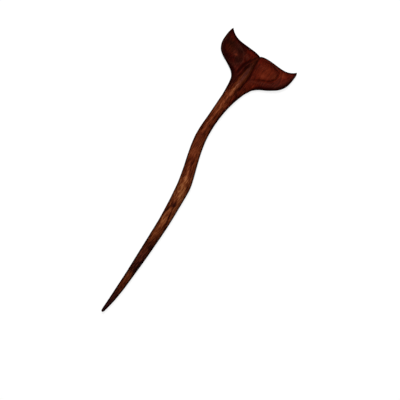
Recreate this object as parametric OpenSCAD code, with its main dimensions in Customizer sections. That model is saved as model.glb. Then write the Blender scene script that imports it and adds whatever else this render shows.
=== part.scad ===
// A hair stick carved from one piece of wood: a round shaft with an S-bend,
// a fine point at one end and a whale's tail at the other.
// Millimetres. +X runs from the point to the tail along the line of the head,
// +Y to the left fluke, +Z up from the surface that the stick lies on.
// The origin is under the middle of the stick's bounding box.

/* [Stick] */
// Whole length, from the point to the tips of the tail
stick_length = 180; // [150:1:210]
// Thickness of the shaft, as a share of the drawn one
shaft_share = 1; // [0.8:0.05:1.2]

/* [Tail] */
// Reach of the flukes, as a share of the drawn 47 mm span
span_share = 1; // [0.85:0.05:1.15]
// Rise of the stem's ridge above the flukes
stem_rise = 1.3; // [0.4:0.1:1.6]
// Depth of the groove on each side of the stem's ridge
groove_depth = 0.4; // [0:0.1:0.6]
// Depth of the bowl carved in each fluke
bowl_depth = 1.1; // [0:0.1:1.6]
// How far the tips curl up
tip_lift = 1.3; // [0:0.1:2]
// Depth sanded off the back of the tail, to make it flat
back_flat = 0.25; // [0.1:0.05:0.4]

/* [Fineness] */
// Points around each rib, in steps of 4
rib_points = 64; // [32:4:68]

/* [Hidden] */
wood = [0.24, 0.09, 0.05];

// Place of the notch between the flukes on the drawn stick
notch_x = 175.5;

// A row for each rib of the stick. x is the rib's place along the head's line,
// measured from the point, and y the place of its middle. left and right are
// its reach to each edge. edge is the height of those edges, under and top are
// the lowest and highest point of the section, and full is its squareness,
// 2 for an ellipse. All are for the drawn stick.
X = 0;
Y = 1;
LEFT = 2;
RIGHT = 3;
EDGE = 4;
UNDER = 5;
TOP = 6;
FULL = 7;
SECTIONS = [
    // x, y, left, right, edge, under, top, full
    [0, -11.0, 0.3, 0.3, 3.4, 3.1, 3.7, 2],
    [0.4, -11.0, 0.7, 0.7, 3.4, 2.7, 4.1, 2],
    [1.4, -11.05, 1.0, 1.0, 3.4, 2.4, 4.4, 2],
    [5, -11.3, 1.35, 1.35, 3.4, 2.05, 4.75, 2],
    [11, -11.6, 1.8, 1.8, 3.4, 1.6, 5.2, 2],
    [18, -11.7, 2.15, 2.15, 3.4, 1.25, 5.55, 2],
    [28, -11.6, 2.5, 2.45, 3.4, 0.95, 5.85, 2],
    [40, -11.25, 2.9, 2.9, 3.4, 0.6, 6.2, 2],
    [52, -10.8, 3.2, 3.25, 3.4, 0.25, 6.55, 2],
    [64, -10.2, 3.4, 3.5, 3.45, 0.05, 6.85, 2],
    [76, -9.0, 3.7, 3.85, 3.65, 0.05, 7.25, 2],
    [83, -8.1, 3.9, 4.15, 3.9, 0.05, 7.75, 2],
    [88, -7.3, 3.95, 4.3, 4.0, 0.05, 7.95, 2],
    [93, -5.95, 3.9, 4.15, 3.95, 0.05, 7.85, 2],
    [99, -4.0, 3.65, 3.95, 3.75, 0.05, 7.45, 2],
    [105, -2.0, 3.55, 3.85, 3.6, 0.05, 7.15, 2],
    [111, -0.35, 3.6, 3.7, 3.55, 0.05, 7.05, 2],
    [117, 0.95, 3.5, 3.65, 3.5, 0.05, 6.95, 2],
    [123, 1.55, 3.35, 3.45, 3.35, 0.05, 6.65, 2],
    [129, 1.65, 3.3, 3.3, 3.3, 0.05, 6.55, 2],
    [135, 1.6, 3.5, 3.45, 3.4, 0.05, 6.8, 2],
    [140, 1.45, 3.75, 3.85, 3.4, 0.03, 7.0, 2],
    [145, 1.4, 3.9, 4.75, 3.1, 0, 6.6, 2.1],
    [149.2, 1.3, 4.45, 5.75, 2.7, 0, 5.9, 2.3],
    [152, 1.2, 4.9, 6.5, 2.4, 0, 5.4, 2.6],
    [154, 1.1, 5.4, 7.4, 2.2, 0, 5.1, 2.9],
    [156.3, 1.0, 6.2, 8.5, 2.0, 0, 4.8, 3.2],
    [158.6, 0.9, 8.1, 10.8, 1.9, 0, 4.7, 3.4],
    [160, 0.8, 10.2, 12.8, 1.8, 0, 4.6, 3.6],
    [161.5, 0.75, 13.3, 15.5, 1.7, 0, 4.6, 3.8],
    [163, 0.65, 17.0, 17.8, 1.6, 0, 4.5, 3.9],
    [165, 0.55, 20.5, 20.6, 1.6, 0, 4.5, 4],
    [167, 0.45, 22.25, 22.45, 1.5, 0, 4.4, 4],
    [169, 0.35, 23.15, 23.55, 1.5, 0, 4.2, 4],
    [171.5, 0.25, 23.4, 24.0, 1.4, 0.1, 3.7, 4],
    [173.6, 0.15, 23.3, 24.0, 1.3, 0.3, 2.9, 4],
    [174.8, 0.05, 23.0, 23.7, 1.2, 0.4, 2.3, 4],
    [notch_x, 0, 22.6, 23.1, 1.2, 0.5, 1.9, 4]
];

// Stretches of the stick and the ribs in each: from, to, number.
// The last one is the small round that closes the trailing edge.
edge_round = 0.8;
round_x = notch_x - edge_round;
STRETCHES = [
    [0, 1.4, 4],
    [1.4, 12, 5],
    [12, 136, 25],
    [136, 158, 10],
    [158, round_x, 13],
    [round_x, notch_x, 4]
];
// The ribs fan out from here on, to lie along the trailing edge at last.
fan_start = 160;
// How far each tip of the trailing edge lies ahead of the notch, and how
// sharply the edge curls to it.
LEFT_TIP = 5;
RIGHT_TIP = 5;
LEFT_CURL = 5.2;
RIGHT_CURL = 5.6;
// How far each lobe of the trailing edge swells beyond the notch, and how near
// to the notch: below 1, the swell is fullest on the inner half.
LEFT_LOBE = 0.95;
RIGHT_LOBE = 1.65;
lobe_lean = 0.6;
drawn_length = notch_x + max(LEFT_TIP, RIGHT_TIP);
// The share of its thickness that the last rib of the trailing edge keeps.
last_share = 0.14;
// Between the first two places the shaft's share of the drawn size gives way to
// the tail's, and between the second two the ribs turn square to the head.
GROWS = [145, 160];
TURNS = [136, 150];
// The flukes lift outside this share of their reach, wherever the left one
// reaches between the first and the second of these.
lift_outside = 0.5;
LIFT_REACH = [8, 20];
// The share of a rib's points that is spaced for the ridge, the rest for the edges.
ridge_share = 0.5;
// The back is sanded from the first of these places to the last, and to its
// whole depth between the two in the middle.
BACK = [141, 150, 167, 173];
// The stem's ridge: where it leaves the round shaft, is at its highest, starts
// to fade and is gone, and its half width at those two ends.
RIDGE = [142, 154, 160, 174.5];
ridge_half = [2.6, 0.9];
groove_half = 2;
// Each bowl: its middle, half length, half width and turn.
LEFT_BOWL = [[168.6, 13.4], 8, 4.6, 24];
RIGHT_BOWL = [[169.4, -10.8], 8.4, 5, -24];

function clamp01(v) = min(max(v, 0), 1);
function smooth(v) = let (c = clamp01(v)) c * c * (3 - 2 * c);
function ease(v, from, to) = smooth((v - from) / (to - from));
function mix(a, b, share) = a + (b - a) * share;
// Rises from 0 to 1 between the first two places and falls back between the last two.
function held(x, places) = ease(x, places[0], places[1]) * (1 - ease(x, places[2], places[3]));

// A column of SECTIONS at any x, on a smooth curve through the rows.
function row_before(x, i = 0) =
    i >= len(SECTIONS) - 2 || SECTIONS[i + 1][X] > x ? i : row_before(x, i + 1);
function trend(i, column) =
    let (a = SECTIONS[max(i - 1, 0)], b = SECTIONS[min(i + 1, len(SECTIONS) - 1)])
    (b[column] - a[column]) / (b[X] - a[X]);
function between(i, x, column) =
    let (
        a = SECTIONS[i],
        b = SECTIONS[i + 1],
        step = b[X] - a[X],
        s = (x - a[X]) / step
    )
    (1 + 2 * s) * (1 - s) * (1 - s) * a[column] + s * s * (3 - 2 * s) * b[column]
    + s * (1 - s) * step * ((1 - s) * trend(i, column) - s * trend(i + 1, column));

// The row of values of the rib whose middle is at x.
function rib_row(x) =
    let (i = row_before(x), tail = ease(x, GROWS[0], GROWS[1]))
    [
        x,
        between(i, x, Y),
        between(i, x, LEFT) * mix(shaft_share, span_share, tail),
        between(i, x, RIGHT) * mix(shaft_share, span_share, tail),
        between(i, x, EDGE) * mix(shaft_share, 1, tail),
        between(i, x, UNDER) * mix(shaft_share, 1, tail) - back_flat * held(x, BACK),
        between(i, x, TOP) * mix(shaft_share, 1, tail),
        between(i, x, FULL)
    ];

// The way that the middle line heads at x, in degrees. The tail's ribs lie
// square to the head's own line.
function heading(x) =
    let (
        reach = 1,
        a = max(x - reach, 0),
        b = min(x + reach, notch_x),
        slope = (between(row_before(b), b, Y) - between(row_before(a), a, Y)) / (b - a)
    )
    atan(slope) * (1 - ease(x, TURNS[0], TURNS[1]));

// How far ahead of its middle a rib runs at the share t of its reach, from -1
// at the right edge to 1 at the left one.
function ahead(x, t) =
    let (
        fan = clamp01((x - fan_start) / (notch_x - fan_start)),
        tip = t > 0 ? LEFT_TIP : RIGHT_TIP,
        curl = t > 0 ? LEFT_CURL : RIGHT_CURL,
        lobe = t > 0 ? LEFT_LOBE : RIGHT_LOBE
    )
    fan * fan * (tip * pow(abs(t), curl) + lobe * sin(180 * pow(abs(t), lobe_lean)));

// The place, seen from above, of the share t of a rib.
function place(row, t) =
    let (angle = heading(row[X]), out = t * (t > 0 ? row[LEFT] : row[RIGHT]))
    [row[X] - out * sin(angle) + ahead(row[X], t), row[Y] + out * cos(angle)];

// A section's height at t, as a share of its height in the middle.
function swell(row, t) = pow(max(1 - pow(abs(t), row[FULL]), 0), 1 / row[FULL]);
// The share of its thickness that a rib keeps in the round of the trailing edge.
function closing(x) =
    let (s = clamp01((x - round_x) / edge_round), lost = 1 - pow(last_share, 2))
    sqrt(1 - lost * s * s);
// The lift of the flukes towards their tips.
function lift(row, t) =
    let (outer = clamp01(abs(t) - lift_outside) / (1 - lift_outside))
    tip_lift * outer * outer * ease(row[LEFT], LIFT_REACH[0], LIFT_REACH[1]);

function ridge(row, t) =
    let (
        x = row[X],
        off = abs(t) * (t > 0 ? row[LEFT] : row[RIGHT]),
        half = mix(ridge_half[0], ridge_half[1], ease(x, RIDGE[1], RIDGE[3])),
        groove = smooth(1 - abs(off - half) / groove_half)
    )
    held(x, RIDGE) * (stem_rise * (1 - ease(off, 0, half)) - groove_depth * groove);

function bowl(spot, b) =
    let (
        d = spot - b[0],
        along = (d[1] * cos(b[3]) + d[0] * sin(b[3])) / b[1],
        across = (d[0] * cos(b[3]) - d[1] * sin(b[3])) / b[2]
    )
    bowl_depth * pow(max(1 - along * along - across * across, 0), 1.5);

function over(row, t) =
    let (spot = place(row, t))
    row[EDGE] + lift(row, t) + closing(row[X]) * (
        (row[TOP] - row[EDGE]) * swell(row, t) + ridge(row, t)
        - bowl(spot, LEFT_BOWL) - bowl(spot, RIGHT_BOWL)
    );
function below(row, t) =
    row[EDGE] + lift(row, t) - closing(row[X]) * (row[EDGE] - row[UNDER]) * swell(row, t);

// The shares t of a rib's points: close together at the ridge and the edges.
side = rib_points / 4;
function spread(q) = mix(sin(90 * q), q * abs(q) * (3 - 2 * abs(q)), ridge_share);
across_rib = [for (i = [-side:side]) spread(i / side)];

function rib(row) = concat(
    [for (t = across_rib) concat(place(row, t), over(row, t))],
    [for (i = [len(across_rib) - 2:-1:1]) let (t = across_rib[i]) concat(place(row, t), below(row, t))]
);

stations = concat(
    [STRETCHES[0][0]],
    [for (s = STRETCHES) for (i = [1:s[2]]) mix(s[0], s[1], i / s[2])]
);
carved = [for (x = stations) each rib(rib_row(x))];
around = 4 * side;
ribs = len(stations);

// The skin between ribs, and a strip that closes each end.
skin = [
    for (i = [0:ribs - 2]) for (j = [0:around - 1])
        let (k = (j + 1) % around, a = i * around, b = a + around)
        each [[a + j, b + k, b + j], [a + j, a + k, b + k]]
];
function close_end(first, flip) = [
    for (j = [0:2 * side - 1])
        let (
            a = first + j,
            b = first + j + 1,
            c = first + (around - j - 1) % around,
            d = first + (around - j) % around,
            faces = [if (j < 2 * side - 1) [a, c, b], if (j > 0) [a, d, c]]
        )
        each [for (f = faces) flip ? [f[0], f[2], f[1]] : f]
];

// Puts the origin under the middle of the bounding box.
k = stick_length / drawn_length;
xs = [for (p = carved) p[X]];
ys = [for (p = carved) p[Y]];
origin = [(min(xs) + max(xs)) / 2, (min(ys) + max(ys)) / 2, 0];
sanding_depth = 3;

module carving() {
    polyhedron(
        points = [for (p = carved) k * (p - origin)],
        faces = concat(skin, close_end(0, false), close_end((ribs - 1) * around, true))
    );
}

// The back of the tail is sanded flat on the plane that the stick lies on.
module hair_stick() {
    color(wood)
        difference() {
            carving();
            translate([-stick_length, -stick_length, -sanding_depth])
                cube([2 * stick_length, 2 * stick_length, sanding_depth]);
        }
}

hair_stick();
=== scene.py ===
# %% [markdown]
# # A hair stick carved as a whale's tail
#
# The real stick is one piece of dark, reddish wood: a nearly round shaft with an S-bend, a
# fine point, and a flat tail with a raised stem and a hollow carved in each fluke. Here a
# finer mesh of it takes the place of the plain solid from the workshop's drawing, gets its
# wood and is lit like a product photograph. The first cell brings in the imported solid,
# which says how large the stick is and where it lies.

import math

import bpy
import numpy as np
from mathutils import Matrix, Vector, noise
from mathutils.kdtree import KDTree


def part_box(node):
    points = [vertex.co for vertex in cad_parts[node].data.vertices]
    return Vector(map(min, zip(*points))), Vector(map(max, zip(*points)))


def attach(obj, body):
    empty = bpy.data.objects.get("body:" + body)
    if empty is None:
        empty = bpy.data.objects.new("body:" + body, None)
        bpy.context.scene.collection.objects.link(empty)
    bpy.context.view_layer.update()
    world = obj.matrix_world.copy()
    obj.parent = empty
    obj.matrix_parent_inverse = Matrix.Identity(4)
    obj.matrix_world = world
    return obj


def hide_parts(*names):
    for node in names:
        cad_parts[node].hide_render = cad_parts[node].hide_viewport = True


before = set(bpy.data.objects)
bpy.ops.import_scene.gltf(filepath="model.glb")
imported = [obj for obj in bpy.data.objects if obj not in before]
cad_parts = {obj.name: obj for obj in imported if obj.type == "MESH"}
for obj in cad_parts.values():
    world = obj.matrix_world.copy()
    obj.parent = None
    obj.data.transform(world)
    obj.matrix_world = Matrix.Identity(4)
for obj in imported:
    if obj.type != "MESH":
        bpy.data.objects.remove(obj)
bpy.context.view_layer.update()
solid_low, solid_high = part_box("hair_stick")
solid_size = [round(1000 * v, 2) for v in solid_high - solid_low]
print("the solid, in millimetres:", solid_size)

# %% [markdown]
# ## The measured ribs
#
# A carver starts from a drawing with a few sections. Each row here is one rib across the
# stick, in millimetres: `x` is its place along the head's line, from the point, and `y`
# its middle. `left` and `right` are its reach, `edge` the height of its two edges, `under`
# and `top` its lowest and highest point, and `full` its squareness, where 2 is an ellipse.
# A box or a tube from Blender's menu could be pulled to this shape by hand, but a table
# can be read, checked and changed.

# %% The table of ribs
NOTCH_X = 175.5
COLUMNS = "x y left right edge under top full".split()
RIBS = np.array([
    [0, -11.0, 0.3, 0.3, 3.4, 3.1, 3.7, 2],
    [0.4, -11.0, 0.7, 0.7, 3.4, 2.7, 4.1, 2],
    [1.4, -11.05, 1.0, 1.0, 3.4, 2.4, 4.4, 2],
    [5, -11.3, 1.35, 1.35, 3.4, 2.05, 4.75, 2],
    [11, -11.6, 1.8, 1.8, 3.4, 1.6, 5.2, 2],
    [18, -11.7, 2.15, 2.15, 3.4, 1.25, 5.55, 2],
    [28, -11.6, 2.5, 2.45, 3.4, 0.95, 5.85, 2],
    [40, -11.25, 2.9, 2.9, 3.4, 0.6, 6.2, 2],
    [52, -10.8, 3.2, 3.25, 3.4, 0.25, 6.55, 2],
    [64, -10.2, 3.4, 3.5, 3.45, 0.05, 6.85, 2],
    [76, -9.0, 3.7, 3.85, 3.65, 0.05, 7.25, 2],
    [83, -8.1, 3.9, 4.15, 3.9, 0.05, 7.75, 2],
    [88, -7.3, 3.95, 4.3, 4.0, 0.05, 7.95, 2],
    [93, -5.95, 3.9, 4.15, 3.95, 0.05, 7.85, 2],
    [99, -4.0, 3.65, 3.95, 3.75, 0.05, 7.45, 2],
    [105, -2.0, 3.55, 3.85, 3.6, 0.05, 7.15, 2],
    [111, -0.35, 3.6, 3.7, 3.55, 0.05, 7.05, 2],
    [117, 0.95, 3.5, 3.65, 3.5, 0.05, 6.95, 2],
    [123, 1.55, 3.35, 3.45, 3.35, 0.05, 6.65, 2],
    [129, 1.65, 3.3, 3.3, 3.3, 0.05, 6.55, 2],
    [135, 1.6, 3.5, 3.45, 3.4, 0.05, 6.8, 2],
    [140, 1.45, 3.75, 3.85, 3.4, 0.03, 7.0, 2],
    [145, 1.4, 3.9, 4.75, 3.1, 0, 6.6, 2.1],
    [149.2, 1.3, 4.45, 5.75, 2.7, 0, 5.9, 2.3],
    [152, 1.2, 4.9, 6.5, 2.4, 0, 5.4, 2.6],
    [154, 1.1, 5.4, 7.4, 2.2, 0, 5.1, 2.9],
    [156.3, 1.0, 6.2, 8.5, 2.0, 0, 4.8, 3.2],
    [158.6, 0.9, 8.1, 10.8, 1.9, 0, 4.7, 3.4],
    [160, 0.8, 10.2, 12.8, 1.8, 0, 4.6, 3.6],
    [161.5, 0.75, 13.3, 15.5, 1.7, 0, 4.6, 3.8],
    [163, 0.65, 17.0, 17.8, 1.6, 0, 4.5, 3.9],
    [165, 0.55, 20.5, 20.6, 1.6, 0, 4.5, 4],
    [167, 0.45, 22.25, 22.45, 1.5, 0, 4.4, 4],
    [169, 0.35, 23.15, 23.55, 1.5, 0, 4.2, 4],
    [171.5, 0.25, 23.4, 24.0, 1.4, 0.1, 3.7, 4],
    [173.6, 0.15, 23.3, 24.0, 1.3, 0.3, 2.9, 4],
    [174.8, 0.05, 23.0, 23.7, 1.2, 0.4, 2.3, 4],
    [NOTCH_X, 0, 22.6, 23.1, 1.2, 0.5, 1.9, 4],
])
print("ribs in the drawing:", len(RIBS))

# %% [markdown]
# ## A smooth curve through the rows
#
# Between two ribs the carver fairs the wood by eye. In code, a cubic curve does it: at
# each row it heads the way its two neighbours lie, so every column flows without a kink.

# %% Any column at any place
def flow(rows, values, x):
    """The values at x, on a smooth curve that has them at the rows."""
    number = np.arange(len(rows))
    before = np.maximum(number - 1, 0)
    after = np.minimum(number + 1, len(rows) - 1)
    trend = (values[after] - values[before]) / (rows[after] - rows[before])
    i = np.clip(np.searchsorted(rows, x, side="right") - 1, 0, len(rows) - 2)
    step = rows[i + 1] - rows[i]
    s = (x - rows[i]) / step
    chord = (1 + 2 * s) * (1 - s) ** 2 * values[i] + s * s * (3 - 2 * s) * values[i + 1]
    return chord + s * (1 - s) * step * ((1 - s) * trend[i] - s * trend[i + 1])


def measure(name, x):
    """A column of RIBS at any x."""
    return flow(RIBS[:, 0], RIBS[:, COLUMNS.index(name)], x)


def ease(v, start, end):
    """Rises smoothly from 0 at start to 1 at end."""
    c = np.clip((v - start) / (end - start), 0, 1)
    return c * c * (3 - 2 * c)


BELLY_X = 88
belly = measure("top", BELLY_X) - measure("under", BELLY_X)
print("height at the belly:", round(float(belly), 2), "mm")

# %% [markdown]
# ## The outline from above
#
# On the shaft each rib stands square to the middle line, which bends twice. On the tail
# the ribs stay square to the head and fan forward, so that the last one runs along the
# trailing edge with its two lobes and its curled tips. `t` is a place along a rib, from -1
# at the right edge to 1 at the left one.

# %% Where a point of a rib lies
STRAIGHTENS = (136, 150)
FAN_START = 160
TIP_REACH = 5
LEFT_CURL, RIGHT_CURL = 5.2, 5.6
LEFT_LOBE, RIGHT_LOBE = 0.95, 1.65
LOBE_LEAN = 0.6


def heading(x):
    """The way that the middle line heads, in radians."""
    back = np.maximum(x - 1, 0)
    on = np.minimum(x + 1, NOTCH_X)
    slope = (measure("y", on) - measure("y", back)) / (on - back)
    return np.arctan(slope) * (1 - ease(x, *STRAIGHTENS))


def place(x, t):
    """The place, seen from above, of t along the rib at x."""
    fan = np.clip((x - FAN_START) / (NOTCH_X - FAN_START), 0, 1) ** 2
    curl = np.abs(t) ** np.where(t > 0, LEFT_CURL, RIGHT_CURL)
    lobe = np.where(t > 0, LEFT_LOBE, RIGHT_LOBE) * np.sin(np.pi * np.abs(t) ** LOBE_LEAN)
    ahead = fan * (TIP_REACH * curl + lobe)
    out = t * np.where(t > 0, measure("left", x), measure("right", x))
    angle = heading(x)
    return x - out * np.sin(angle) + ahead, measure("y", x) + out * np.cos(angle)


print("left tip at", [round(float(v), 2) for v in place(NOTCH_X, 1.0)])

# %% [markdown]
# ## The blank, before it is carved
#
# A section swells from its two edges to its top and down to its underside. The flukes lift
# a little towards their tips, and the trailing edge is rounded over its last stretch. The
# back of the tail was sanded flat on a board: what would lie below the board is gone.

# %% Heights of the blank
ROUND_X = NOTCH_X - 0.8
TIP_LIFT = 1.3
BACK_FLAT = 0.25
BACK = (141, 150, 167, 173)
WORN = 0.03
LAST_SHARE = 0.14
LIFT_OUTSIDE = 0.5
LIFT_REACH = (8, 20)


def swell(x, t):
    full = measure("full", x)
    return np.maximum(1 - np.abs(t) ** full, 0) ** (1 / full)


def lift(x, t):
    outer = np.clip((np.abs(t) - LIFT_OUTSIDE) / (1 - LIFT_OUTSIDE), 0, 1)
    return TIP_LIFT * outer**2 * ease(measure("left", x), *LIFT_REACH)


def closing(x):
    """The share of its thickness that a rib keeps in the round of the trailing edge."""
    share = np.clip((x - ROUND_X) / (NOTCH_X - ROUND_X), 0, 1)
    return np.sqrt(1 - (1 - LAST_SHARE**2) * share**2)


def top_of_blank(x, t):
    edge = measure("edge", x)
    return edge + lift(x, t) + closing(x) * (measure("top", x) - edge) * swell(x, t)


def under_of_blank(x, t):
    edge = measure("edge", x)
    sanded = BACK_FLAT * ease(x, *BACK[:2]) * (1 - ease(x, *BACK[2:]))
    deep = edge - measure("under", x) + sanded
    low = edge + lift(x, t) - closing(x) * deep * swell(x, t)
    return (low + np.sqrt(low**2 + WORN**2)) / 2


back_height = float(under_of_blank(FAN_START, 0.0))
print("flat of the back, at x", FAN_START, "lies", round(back_height, 4), "mm up")

# %% [markdown]
# ## The stem
#
# The raised stem isn't a plain roll. Its top is a narrow face that leans to the left,
# sharp along its right side, and it runs out to a point short of the notch. The table
# gives, at a few places, the foot and the edge of its face on each side, and how far each
# edge stands above the fluke. A bevelled curve could give such a ridge as well, but it
# would have to be blended into the tail; here the ridge is added to the tail's height.

# %% The stem's ridge
STEM_COLUMNS = "x left_foot left_edge right_edge right_foot left_rise right_rise".split()
STEM = np.array([
    [138, 5.0, 4.3, 0.6, -0.9, 0.0, 0.0],
    [142, 4.9, 4.2, 0.4, -0.9, 0.05, 0.15],
    [146, 4.7, 3.8, 0.25, -1.0, 0.15, 0.45],
    [150, 4.2, 3.2, 0.15, -1.2, 0.4, 0.9],
    [154, 3.7, 2.8, 0.1, -1.7, 0.65, 1.25],
    [158, 3.4, 2.5, -0.2, -2.1, 0.75, 1.4],
    [162, 3.1, 2.2, -0.45, -2.2, 0.75, 1.35],
    [165, 2.7, 1.9, 0.1, -1.6, 0.7, 1.15],
    [168, 2.2, 1.5, 0.5, -1.1, 0.5, 0.85],
    [170, 1.7, 1.1, 0.5, -0.7, 0.3, 0.55],
    [172, 1.1, 0.7, 0.4, -0.4, 0.1, 0.2],
    [174, 0.7, 0.4, 0.2, -0.2, 0.0, 0.0],
])
SOFTENING = np.linspace(-0.22, 0.22, 5)


def ramp(v, start, end):
    """Rises from 0 at start to 1 at end, with both corners rubbed soft."""
    return np.mean([np.clip((v + s - start) / (end - start), 0, 1) for s in SOFTENING], axis=0)


def stem(x, y):
    at = dict(zip(STEM_COLUMNS, (np.interp(x, STEM[:, 0], c) for c in STEM.T)))
    left = at["left_rise"] * ramp(y, at["left_foot"], at["left_edge"])
    lean = (at["right_rise"] - at["left_rise"]) * ramp(y, at["left_edge"], at["right_edge"])
    right = at["right_rise"] * ramp(y, at["right_edge"], at["right_foot"])
    return left + lean - right


print("stem at its highest:", STEM[:, -1].max(), "mm above the flukes")

# %% [markdown]
# ## Cuts along lines
#
# Knife cuts run beside the stem: one from the notch down each side of it, and a second one
# close to its left foot. Another one sets off the red band left of the notch, and two more
# the lip and the foot of the right fluke's scoop. Each is a short path with its half width
# and depth, and a smooth curve runs through it. A cut's depth at a point depends only on
# how far the point is from that curve, so one function makes them all.

# %% The knife cuts
CUT_COLUMNS = "x y half depth".split()
CUTS = {
    "left of the tongue": np.array([
        [175.2, 0.3, 0.7, 0.2],
        [171.6, 2.3, 1.1, 0.4],
        [168.2, 4.2, 1.3, 0.5],
        [164.0, 5.1, 1.2, 0.35],
        [159.0, 5.6, 1.0, 0.25],
        [155.0, 5.5, 0.8, 0.12],
        [152.0, 5.1, 0.7, 0.0],
    ]),
    "left foot of the stem": np.array([
        [169.5, 2.2, 0.6, 0.0],
        [166.0, 2.9, 0.9, 0.25],
        [160.0, 3.4, 0.9, 0.32],
        [155.0, 3.7, 0.9, 0.25],
        [151.0, 4.2, 0.8, 0.0],
    ]),
    "right of the stem": np.array([
        [175.0, -0.3, 0.6, 0.25],
        [171.5, -0.6, 0.9, 0.45],
        [167.0, -1.3, 1.1, 0.55],
        [161.0, -2.1, 1.1, 0.5],
        [155.5, -1.8, 0.8, 0.4],
        [151.0, -1.1, 0.6, 0.3],
        [147.0, -0.8, 0.6, 0.25],
        [143.0, -0.6, 0.5, 0.0],
    ]),
    "left band by the notch": np.array([
        [167.6, 4.2, 0.9, 0.0],
        [169.0, 5.4, 1.6, 0.25],
        [170.6, 6.8, 2.0, 0.22],
        [172.6, 8.6, 1.8, 0.0],
    ]),
    "lip of the right trailing edge": np.array([
        [174.4, -1.8, 0.6, 0.0],
        [175.3, -4.5, 0.9, 0.25],
        [175.6, -8.0, 1.0, 0.3],
        [175.2, -11.5, 1.0, 0.3],
        [174.2, -14.6, 0.9, 0.1],
    ]),
    "foot of the right scoop": np.array([
        [160.6, -4.2, 0.9, 0.0],
        [162.2, -5.6, 1.5, 0.22],
        [163.8, -8.1, 1.7, 0.28],
        [165.4, -10.9, 1.7, 0.3],
        [167.1, -13.5, 1.6, 0.28],
        [169.5, -14.9, 1.5, 0.2],
        [171.8, -15.1, 1.3, 0.12],
        [173.8, -14.2, 1.0, 0.0],
    ]),
}
STEPS_OF_A_PATH = 6


def smooth_path(path):
    """A path with more points, on a smooth curve through the given ones."""
    last = len(path) - 1
    fine = np.linspace(0, last, STEPS_OF_A_PATH * last + 1)
    return np.stack([flow(np.arange(last + 1), column, fine) for column in path.T], axis=1)


def from_path(path, x, y):
    """Each point's distance from a path, and the path's columns at the nearest place."""
    nearest = np.full(np.shape(x), np.inf)
    columns = np.zeros((path.shape[1], *np.shape(x)))
    for a, b in zip(path[:-1], path[1:]):
        step = b - a
        share = ((x - a[0]) * step[0] + (y - a[1]) * step[1]) / (step[:2] @ step[:2])
        share = np.clip(share, 0, 1)
        gap = np.hypot(x - a[0] - share * step[0], y - a[1] - share * step[1])
        nearer = gap < nearest
        nearest = np.where(nearer, gap, nearest)
        here = [np.where(nearer, p + share * q, c) for p, q, c in zip(a, step, columns)]
        columns = np.array(here)
    return nearest, columns


def cut(path, x, y):
    """How deep one cut is at each point."""
    gap, columns = from_path(smooth_path(path), x, y)
    at = dict(zip(CUT_COLUMNS, columns))
    return at["depth"] * ease(gap, at["half"], 0)


print("knife cuts:", ", ".join(CUTS))

# %% [markdown]
# ## The dish in the left fluke
#
# A gouge hollowed the left fluke to a closed dish. It has a long and a short half axis and
# is turned to follow the fluke. A Boolean with a flattened sphere would cut such a dish,
# but leave a knife-sharp rim; a power of the distance from the middle lets the rim be as
# round as the real one.

# %% The left dish
DISH = {"x": 169.0, "y": 14.4, "long": 8.4, "short": 5.8, "turn": math.radians(22)}
DISH_DEPTH = 1.35
DISH_ROUNDNESS = 1.5


def in_dish(x, y):
    """1 in the middle of the left dish, 0 at its rim and beyond."""
    cos, sin = math.cos(DISH["turn"]), math.sin(DISH["turn"])
    along = (y - DISH["y"]) * cos + (x - DISH["x"]) * sin
    across = (x - DISH["x"]) * cos - (y - DISH["y"]) * sin
    return np.maximum(1 - (along / DISH["long"]) ** 2 - (across / DISH["short"]) ** 2, 0)


def dish(x, y):
    """How deep the left dish is at each point."""
    return DISH_DEPTH * in_dish(x, y) ** DISH_ROUNDNESS


print("left dish:", DISH_DEPTH, "mm deep")

# %% [markdown]
# ## The scoop in the right fluke
#
# The right fluke isn't a closed dish. The gouge went in steeply along a curved foot, and
# came out shallow towards the trailing edge and the stem, which leaves a thick rounded
# roll along the leading edge. So the scoop's depth depends on the distance inwards from
# that foot: a steep wall, a floor, and a long run out. The inside is left of the path. To
# keep the floor smooth where two parts of the foot are equally near, the distance is a
# mean over the whole path in which near parts weigh most.

# %% The right scoop
FOOT = np.array([
    # x, y, depth at the foot
    [160.2, -3.8, 0.0],
    [162.1, -5.2, 0.3],
    [163.8, -7.9, 0.75],
    [165.3, -10.7, 0.95],
    [166.9, -13.2, 1.0],
    [169.1, -14.9, 0.95],
    [171.5, -15.5, 0.8],
    [174.0, -15.0, 0.5],
    [176.0, -14.0, 0.1],
])
WALL = 0.9
RUN_OUT = (2.0, 9.0)
LEFT_AT_RUN_OUT = 0.3
NEARNESS = 0.8
# Keeps the weights above zero far from the foot.
TINY = 1e-30


def scoop(x, y):
    """How deep the right scoop is at each point."""
    path = smooth_path(FOOT)
    way = np.gradient(path[:, :2], axis=0)
    way /= np.hypot(*way.T)[:, None]
    off_x, off_y = x[..., None] - path[:, 0], y[..., None] - path[:, 1]
    weight = np.exp(-np.hypot(off_x, off_y) / NEARNESS) + TINY
    weight /= weight.sum(axis=-1, keepdims=True)
    inwards = (weight * (way[:, 0] * off_y - way[:, 1] * off_x)).sum(axis=-1)
    depth = (weight * path[:, 2]).sum(axis=-1)
    floor = 1 - (1 - LEFT_AT_RUN_OUT) * ease(inwards, *RUN_OUT)
    return depth * floor * ease(inwards, -WALL / 2, WALL / 2)


print("right scoop:", FOOT[:, 2].max(), "mm deep at its foot")

# %% [markdown]
# ## Marks of the gouge
#
# Sanding never quite takes out a gouge's marks. Fine ripples across its way, about a
# hundredth of a millimetre deep, stay in the dish and in the scoop. They are real dents,
# because a hollow catches the light and a bump alone would look painted there.

# %% Ripples, and the whole carving
RIPPLE_DEPTH = 0.012
RIPPLE_PITCH = 1.2
GOUGE_WAY = math.radians(38)
# How far the ripples sway to and fro, and over what length: broadly and finely.
BROAD_SWAY, BROAD_PACE = 0.5, 2.3
FINE_SWAY, FINE_PACE = 0.3, 0.9
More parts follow.
